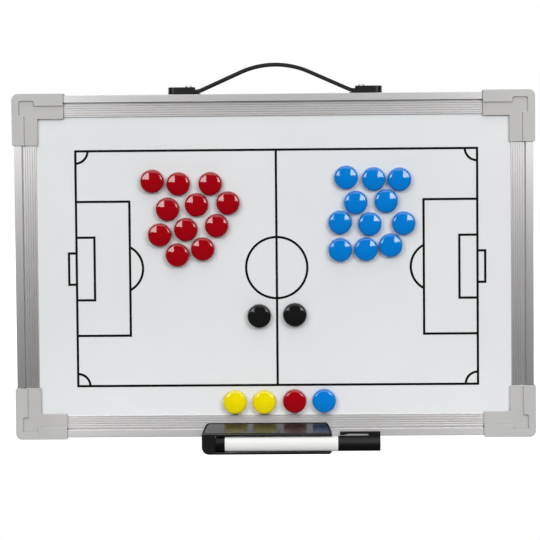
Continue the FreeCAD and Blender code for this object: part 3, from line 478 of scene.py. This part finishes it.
def mesh_from(bm, name, smooth_angle=SMOOTH_ANGLE):
    """Mesh of a bmesh with its faces turned outwards, shaded smooth up to an angle."""
    bmesh.ops.recalc_face_normals(bm, faces=bm.faces)
    if bm.calc_volume(signed=True) < 0:
        bmesh.ops.reverse_faces(bm, faces=bm.faces)
    mesh = bpy.data.meshes.new(name)
    bm.to_mesh(mesh)
    bm.free()
    mesh.shade_smooth()
    mesh.set_sharp_from_angle(angle=smooth_angle)
    return mesh


def softened(node, width):
    """Mesh of a CAD node with the hard edges between its roomy faces rounded."""
    bm = bmesh.new()
    bm.from_mesh(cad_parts[node].data)
    bmesh.ops.remove_doubles(bm, verts=bm.verts, dist=MERGE_DISTANCE)
    bmesh.ops.dissolve_limit(bm, angle_limit=FLAT_ANGLE, verts=bm.verts, edges=bm.edges)
    roomy = {face for face in bm.faces if face.calc_area() > ROOMY_SHARE * width ** 2}
    hard = [edge for edge in bm.edges if len(edge.link_faces) == 2 and roomy.issuperset(edge.link_faces)
            and edge.calc_face_angle() > HARD_ANGLE]
    bmesh.ops.bevel(
        bm, geom=hard, offset=width, offset_type="OFFSET", segments=EDGE_SEGMENTS, profile=0.5,
        affect="EDGES", clamp_overlap=False)
    return mesh_from(bm, node + "_soft")


def rimmed_slope(mesh, width):
    """Give the largest face that looks up and to the front a rim with the second material."""
    bm = bmesh.new()
    bm.from_mesh(mesh)
    slopes = [face for face in bm.faces if min(-face.normal.y, face.normal.z) > SLOPE_LEAN]
    slope = max(slopes, key=lambda face: face.calc_area())
    centre = slope.calc_center_bounds()
    axes = (Vector((1, 0, 0)), slope.normal.cross(Vector((1, 0, 0))).normalized())
    beside = {face for edge in slope.edges for face in edge.link_faces if face is not slope}
    ring = bmesh.ops.inset_individual(bm, faces=[slope], thickness=0)["faces"]
    for face in [*ring, *beside]:
        face.material_index = 1
    reach = [max(abs((vert.co - centre).dot(axis)) for vert in slope.verts) for axis in axes]
    for vert in slope.verts:
        offset = vert.co - centre
        inner = [axis * offset.dot(axis) * (1 - width / far) for axis, far in zip(axes, reach)]
        vert.co = centre + inner[0] + inner[1]
    bm.to_mesh(mesh)
    bm.free()
    return mesh


def flat_shading(piece):
    """Keep the flat faces of a softened piece flat in the light."""
    modifier = piece.modifiers.new("flat_faces", "WEIGHTED_NORMAL")
    modifier.keep_sharp = True


def turned(bm, profile, steps, material_index):
    """Closed solid turned about the Y axis from (radius, height) points; heights run towards -Y."""
    rings = []
    for radius, height in profile:
        if radius == 0:
            rings.append([bm.verts.new((0, -height, 0))])
            continue
        turns = [2 * math.pi * step / steps for step in range(steps)]
        rings.append([bm.verts.new((radius * math.cos(t), -height, radius * math.sin(t))) for t in turns])
    for lower, upper in zip(rings, rings[1:]):
        for step in range(steps):
            after = (step + 1) % steps
            corners = [lower[step % len(lower)], lower[after % len(lower)], upper[after % len(upper)],
                       upper[step % len(upper)]]
            face = bm.faces.new(list(dict.fromkeys(corners)))
            face.material_index = material_index


def arc(centre, radius, start, end, count):
    """Points on an arc in the plane, with angles in radians."""
    turns = [start + (end - start) * step / count for step in range(count + 1)]
    return [(centre[0] + radius * math.cos(t), centre[1] + radius * math.sin(t)) for t in turns]


def counter_mesh(sizes, name):
    """Cap with a domed top and a rounded edge, over a magnet disc."""
    radius = sizes.counter_diameter / 2
    shoulder = sizes.counter_shoulder
    side = radius - sizes.counter_taper
    crown = side - shoulder
    crown_height = sizes.counter_height - sizes.counter_crown
    dome = (crown ** 2 + sizes.counter_crown ** 2) / (2 * sizes.counter_crown)
    dome_start = math.pi / 2 - math.asin(crown / dome)
    disc = radius - sizes.counter_rim
    foot = sizes.counter_foot
    cap = [(0, sizes.disc_thickness), (disc, sizes.disc_thickness), (disc, 0)]
    cap += arc((radius - foot, foot), foot, -math.pi / 2, 0, EDGE_STEPS)
    cap += arc((crown, crown_height - shoulder), shoulder, 0, dome_start, SHOULDER_STEPS)
    cap += arc((0, sizes.counter_height - dome), dome, dome_start, math.pi / 2, DOME_STEPS)[1:-1]
    cap.append((0, sizes.counter_height))
    edge = disc - foot
    disc_top = sizes.disc_thickness - foot
    magnet = [(0, MAGNET_GAP), (edge - foot, MAGNET_GAP), (edge, foot), (edge, disc_top), (0, disc_top)]
    bm = bmesh.new()
    turned(bm, cap, sizes.counter_steps, 0)
    turned(bm, magnet, sizes.counter_steps, 1)
    return mesh_from(bm, name, ROUND_SMOOTH_ANGLE)


def strap_line(sizes):
    """Middle line of the strap's right half as (x, z, slope) points, crown to end."""
    slope, crown, radius, flat = sizes.strap_slope, sizes.strap_crown, sizes.strap_bend, sizes.strap_flat
    half_thickness = sizes.strap_thickness / 2
    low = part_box("handle_strap")[0].z + half_thickness
    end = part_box("handle_strap")[1].x
    bow = []
    for step in range(STRAP_CROWN_STEPS + 1):
        turn = slope * step / STRAP_CROWN_STEPS
        bow.append((crown * math.sin(turn), half_thickness - crown * (1 - math.cos(turn)), turn))
    bend = []
    for step in range(STRAP_BEND_STEPS + 1):
        turn = slope * (1 - step / STRAP_BEND_STEPS)
        bend.append((flat - radius * math.sin(turn), low + radius * (1 - math.cos(turn)), turn))
    (start_x, start_z, _), (stop_x, stop_z, _) = bow[-1], bend[0]
    run = []
    for step in range(1, STRAP_RUN_STEPS):
        share = step / STRAP_RUN_STEPS
        run.append((start_x + (stop_x - start_x) * share, start_z + (stop_z - start_z) * share, slope))
    steps = range(1, STRAP_END_STEPS + 1)
    return bow + run + bend + [(flat + (end - flat) * step / STRAP_END_STEPS, low, 0.0) for step in steps]


def strap_mesh(sizes):
    """Flat strap with rounded edges along its bowed line."""
    right = strap_line(sizes)
    line = [(-x, z, -turn) for x, z, turn in reversed(right[1:])] + right
    half_width = sizes.strap_width / 2
    half_thickness = sizes.strap_thickness / 2
    edge = sizes.strap_edge
    section = []
    for sign_y, sign_n, start in ((1, 1, 0.0), (-1, 1, 0.5), (-1, -1, 1.0), (1, -1, 1.5)):
        centre = (sign_y * (half_width - edge), sign_n * (half_thickness - edge))
        section += arc(centre, edge, start * math.pi, (start + 0.5) * math.pi, EDGE_STEPS)
    bm = bmesh.new()
    rings = []
    for x, z, turn in line:
        spot = Vector((x, 0, z))
        across = Vector((math.sin(turn), 0, math.cos(turn)))
        rings.append([bm.verts.new(spot + across * n + Vector((0, y, 0))) for y, n in section])
    for first, second in zip(rings, rings[1:]):
        for index in range(len(section)):
            after = (index + 1) % len(section)
            bm.faces.new((first[index], first[after], second[after], second[index]))
    bm.faces.new(rings[0])
    bm.faces.new(list(reversed(rings[-1])))
    return mesh_from(bm, "carry_strap", ROUND_SMOOTH_ANGLE)


class BuildPanel(bpy.types.Operator):
    """Dress the writing sheet, its core, the back sheet and the printed pitch"""

    bl_idname = "tactics.build_panel"
    bl_label = "Panel and print"

    def execute(self, context):
        finishes = context.scene.tactics_finishes
        dress(enamel_finish(finishes), "writing_sheet")
        dress(ink_finish(finishes), "pitch_print")
        dress(galvanised_finish(finishes), "back_sheet")
        dress(fibre_finish("core", finishes.fibreboard, scale=900.0, roughness=0.8), "core_board")
        return {"FINISHED"}


class BuildRails(bpy.types.Operator):
    """Dress the four rails"""

    bl_idname = "tactics.build_rails"
    bl_label = "Rails"

    def execute(self, context):
        finishes = context.scene.tactics_finishes
        level = {"stretch": (LINES_ALONG, LINES_ACROSS, LINES_ACROSS), "across": (0, 0, 1)}
        upright = {"stretch": (LINES_ACROSS, LINES_ACROSS, LINES_ALONG), "across": (1, 0, 0)}
        # Painted shade in the grooves: dark on the top and upright rails, paler on the bottom rail, whose
        # grooves catch the light; otherwise the rails share one finish
        dark, pale = GROOVE_PAINTED_SHADE, LOWER_GROOVE_PAINTED_SHADE
        dress(aluminium_finish(finishes, "rail_top", grooves=dark, **level), "top_rail")
        dress(aluminium_finish(finishes, "rail_bottom", grooves=pale, **level), "bottom_rail")
        dress(aluminium_finish(finishes, "rail_upright", grooves=dark, **upright), *RAILS_UPRIGHT)
        return {"FINISHED"}


class BuildCorners(bpy.types.Operator):
    """Draw the corner caps with softened edges"""

    bl_idname = "tactics.build_corners"
    bl_label = "Corner caps"

    def execute(self, context):
        finishes = context.scene.tactics_finishes
        sizes = context.scene.tactics_sizes
        # Painted shade in the caps' creases darkens their steps and recess edges
        plastic = moulded_finish(
            "corner_plastic", finishes.corner, roughness=0.42, grain=1500.0, drift=0.03, painted_shade=0.85)
        for node in CORNERS:
            mesh = softened(node, sizes.corner_edge)
            flat_shading(add_piece(node + "_cap", mesh, [plastic], "board", "corner_plastic", node))
        return {"FINISHED"}


class BuildStrap(bpy.types.Operator):
    """Draw the carry strap and its end caps"""

    bl_idname = "tactics.build_strap"
    bl_label = "Carry strap"

    def execute(self, context):
        finishes = context.scene.tactics_finishes
        sizes = context.scene.tactics_sizes
        rubber = moulded_finish(
            "strap_rubber", finishes.rubber, roughness=0.5, grain=2200.0, height=0.00002, drift=0.1,
            specular=0.3)
        mesh = strap_mesh(sizes)
        strap = add_piece("carry_strap", mesh, [rubber], "board", "strap_rubber", "handle_strap")
        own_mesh(strap)
        plastic = moulded_finish(
            "strap_end_plastic", finishes.black, roughness=0.36, grain=1200.0, height=0.00001, drift=0.1,
            specular=0.35)
        for node in STRAP_ENDS:
            mesh = softened(node, sizes.small_edge)
            flat_shading(add_piece(node + "_cap", mesh, [plastic], "board", "black_plastic", node))
        return {"FINISHED"}


class BuildScrews(bpy.types.Operator):
    """Dress the screws of the corner caps and the strap, and the strap's nut plates"""

    bl_idname = "tactics.build_screws"
    bl_label = "Screws"

    def execute(self, context):
        steel = steel_finish(context.scene.tactics_finishes)
        dress(steel, "corner_screws", "strap_screws", "strap_nut_plates")
        return {"FINISHED"}


class BuildHolder(bpy.types.Operator):
    """Draw the pen holder with softened edges and a matt rim round its sloped top"""

    bl_idname = "tactics.build_holder"
    bl_label = "Pen holder"

    def execute(self, context):
        finishes = context.scene.tactics_finishes
        sizes = context.scene.tactics_sizes
        gloss = holder_finish(finishes)
        matt = moulded_finish("holder_rim", finishes.black, roughness=0.55, drift=0.1, specular=0.12)
        mesh = rimmed_slope(softened("pen_holder", sizes.holder_edge), sizes.holder_rim)
        flat_shading(add_piece("pen_tray", mesh, [gloss, matt], "holder", "holder_plastic", "pen_holder"))
        return {"FINISHED"}


class BuildMarker(bpy.types.Operator):
    """Dress the marker and draw its cap with softened edges"""

    bl_idname = "tactics.build_marker"
    bl_label = "Marker"

    def execute(self, context):
        finishes = context.scene.tactics_finishes
        sizes = context.scene.tactics_sizes
        white = moulded_finish(
            "marker_white", finishes.white, roughness=0.3, grain=900.0, height=0.000002, drift=0.015)
        dark = moulded_finish(
            "marker_black", finishes.black, roughness=0.45, grain=900.0, drift=0.1, specular=0.3)
        plug = moulded_finish(
            "plug_black", finishes.black, roughness=0.3, grain=900.0, drift=0.1, specular=0.2)
        felt = fibre_finish("felt", finishes.felt, scale=2400.0, roughness=0.9)
        dress(white, "marker_barrel")
        dress(dark, "marker_section")
        dress(plug, "marker_end_plug")
        dress(felt, "marker_nib", "marker_ink_core")
        mesh = softened("marker_cap", sizes.small_edge)
        flat_shading(add_piece("marker_lid_cap", mesh, [dark], "marker_lid", "black_plastic", "marker_cap"))
        return {"FINISHED"}


class BuildCounters(bpy.types.Operator):
    """Draw every counter in its place; those of one colour share a mesh, and the black ones shine less"""

    bl_idname = "tactics.build_counters"
    bl_label = "Counters"

    def execute(self, context):
        finishes = context.scene.tactics_finishes
        sizes = context.scene.tactics_sizes
        ferrite = moulded_finish(
            "ferrite", finishes.ferrite, roughness=0.6, grain=1600.0, height=0.00002, drift=0.2)
        kinds = {}
        for node in COUNTERS:
            slot = node.rsplit("_", 1)[0]
            if slot not in kinds:
                specular = BLACK_COUNTER_SPECULAR if slot == "counter_black" else COUNTER_SPECULAR
                gloss = counter_finish(slot + "_gloss", getattr(finishes, slot), specular)
                kinds[slot] = counter_mesh(sizes, slot), [gloss, ferrite]
            mesh, materials = kinds[slot]
            piece = add_piece(node.replace("counter", "piece"), mesh, materials, node + "_body", slot, node)
            centre = middle(node)
            piece.location = (centre.x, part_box(node)[1].y, centre.z)
        return {"FINISHED"}


def add_floor(scene, studio):
    """Pale paper floor, long behind the board and short in front of it, that glows mostly for the camera."""
    level = CAD_BOX[0].z
    mesh = bpy.data.meshes.new("floor")
    ends = ((FLOOR_FRONT, -1), (FLOOR_FRONT, 1), (FLOOR_BACK, 1), (FLOOR_BACK, -1))
    corners = [(side * FLOOR_HALF_WIDTH, y, level) for y, side in ends]
    mesh.from_pydata(corners, [], [(0, 1, 2, 3)])
    floor = bpy.data.objects.new("floor", mesh)
    floor.visible_glossy = False
    scene.collection.objects.link(floor)
    paper = Finish("floor_paper", studio.floor_colour, roughness=0.9, specular=0.0)
    paper.mottle(paper.noise(scale=3.0), share=0.01)
    paper.set("Emission Color", WHITE)
    seen = paper.add("ShaderNodeLightPath").outputs["Is Camera Ray"]
    paper.link("Emission Strength", paper.span(seen, studio.floor_bounce, studio.floor_glow, 0, 1))
    mesh.materials.append(paper.material)


def add_world(scene, studio):
    """White backdrop for the camera, and faint even light for everything else."""
    world = bpy.data.worlds.new("studio")
    world.use_nodes = True
    nodes, links = world.node_tree.nodes, world.node_tree.links
    room = nodes["Background"]
    room.inputs["Color"].default_value = WHITE
    room.inputs["Strength"].default_value = studio.ambient
    backdrop = nodes.new("ShaderNodeBackground")
    backdrop.inputs["Color"].default_value = WHITE
    mix = nodes.new("ShaderNodeMixShader")
    links.new(nodes.new("ShaderNodeLightPath").outputs["Is Camera Ray"], mix.inputs[0])
    links.new(room.outputs[0], mix.inputs[1])
    links.new(backdrop.outputs[0], mix.inputs[2])
    links.new(mix.outputs[0], nodes["World Output"].inputs["Surface"])
    scene.world = world


def light_box(name, location, target, width, height, power):
    """Rectangular light box that faces a point."""
    data = bpy.data.lights.new(name, "AREA")
    data.shape = "RECTANGLE"
    data.size = width
    data.size_y = height
    data.energy = power
    box = bpy.data.objects.new(name, data)
    box.location = location
    box.rotation_euler = (Vector(target) - Vector(location)).to_track_quat("-Z", "Y").to_euler()
    box.visible_camera = False
    bpy.context.scene.collection.objects.link(box)


def add_lights(scene, studio):
    """Two light boxes in front of the board, two behind it and one wide soft light from above."""
    for name, side in (("left_box", -1), ("right_box", 1)):
        place = (side * studio.box_side, -studio.box_front, studio.box_rise)
        power = studio.box_power * (1 + side * studio.box_lean)
        light_box(name, place, (0, 0, studio.box_rise), studio.box_width, studio.box_tall, power)
    for name, side in (("left_fill", -1), ("right_fill", 1)):
        place = (side * studio.fill_side, studio.fill_back, studio.target[2])
        light_box(name, place, studio.target, studio.box_width, studio.box_tall, studio.fill_power)
    sky = bpy.data.lights.new("overhead", "SUN")
    sky.energy = studio.overhead
    sky.angle = studio.overhead_angle
    overhead = bpy.data.objects.new("overhead", sky)
    overhead.rotation_euler = (studio.overhead_tilt, 0, 0)
    scene.collection.objects.link(overhead)


def camera_matrix(studio):
    """Place and turn of the camera."""
    az, el = studio.azimuth, studio.elevation
    back = Vector((math.sin(az) * math.cos(el), -math.cos(az) * math.cos(el), math.sin(el)))
    level = Vector((math.cos(az), math.sin(az), 0))
    upright = back.cross(level)
    right = level * math.cos(studio.roll) + upright * math.sin(studio.roll)
    up = upright * math.cos(studio.roll) - level * math.sin(studio.roll)
    matrix = Matrix((right, up, back)).transposed().to_4x4()
    matrix.translation = Vector(studio.target) + back * studio.distance
    return matrix


def add_camera(scene, studio):
    """Camera without depth of field, at the place and turn that the studio gives."""
    data = bpy.data.cameras.new("camera")
    data.sensor_width = SENSOR_WIDTH
    data.lens = studio.lens
    data.clip_end = CLIP_END
    camera = bpy.data.objects.new("camera", data)
    camera.matrix_world = camera_matrix(studio)
    scene.collection.objects.link(camera)
    scene.camera = camera


class BuildStage(bpy.types.Operator):
    """Set the floor, the backdrop, the light and the camera"""

    bl_idname = "tactics.build_stage"
    bl_label = "Stage"

    def execute(self, context):
        scene = context.scene
        for add in (add_floor, add_world, add_lights, add_camera):
            add(scene, scene.tactics_studio)
        scene.view_settings.view_transform = "Standard"
        return {"FINISHED"}


BUILDERS = (
    BuildPanel, BuildRails, BuildCorners, BuildStrap, BuildScrews, BuildHolder, BuildMarker, BuildCounters,
    BuildStage,
)


class TacticsPanel(bpy.types.Panel):
    """Builders and settings of the tactics board"""

    bl_idname = "VIEW3D_PT_tactics_board"
    bl_label = "Tactics board"
    bl_space_type = "VIEW_3D"
    bl_region_type = "UI"
    bl_category = "Tactics board"

    def draw(self, context):
        for builder in BUILDERS:
            self.layout.operator(builder.bl_idname)
        scene = context.scene
        for group in (scene.tactics_finishes, scene.tactics_sizes, scene.tactics_studio):
            box = self.layout.box()
            for name in group.__annotations__:
                box.prop(group, name)


CLASSES = (TacticsFinishes, TacticsSizes, TacticsStudio, *BUILDERS, TacticsPanel)


def register():
    """Add the classes, and the settings of a scene."""
    for item in CLASSES:
        bpy.utils.register_class(item)
    bpy.types.Scene.tactics_finishes = PointerProperty(type=TacticsFinishes)
    bpy.types.Scene.tactics_sizes = PointerProperty(type=TacticsSizes)
    bpy.types.Scene.tactics_studio = PointerProperty(type=TacticsStudio)


def unregister():
    """Take the settings and the classes away again."""
    del bpy.types.Scene.tactics_studio
    del bpy.types.Scene.tactics_sizes
    del bpy.types.Scene.tactics_finishes
    for item in reversed(CLASSES):
        bpy.utils.unregister_class(item)


def main():
    """Build every piece and the stage."""
    register()
    for builder in BUILDERS:
        group, name = builder.bl_idname.split(".")
        getattr(getattr(bpy.ops, group), name)()


if __name__ == "__main__":
    main()
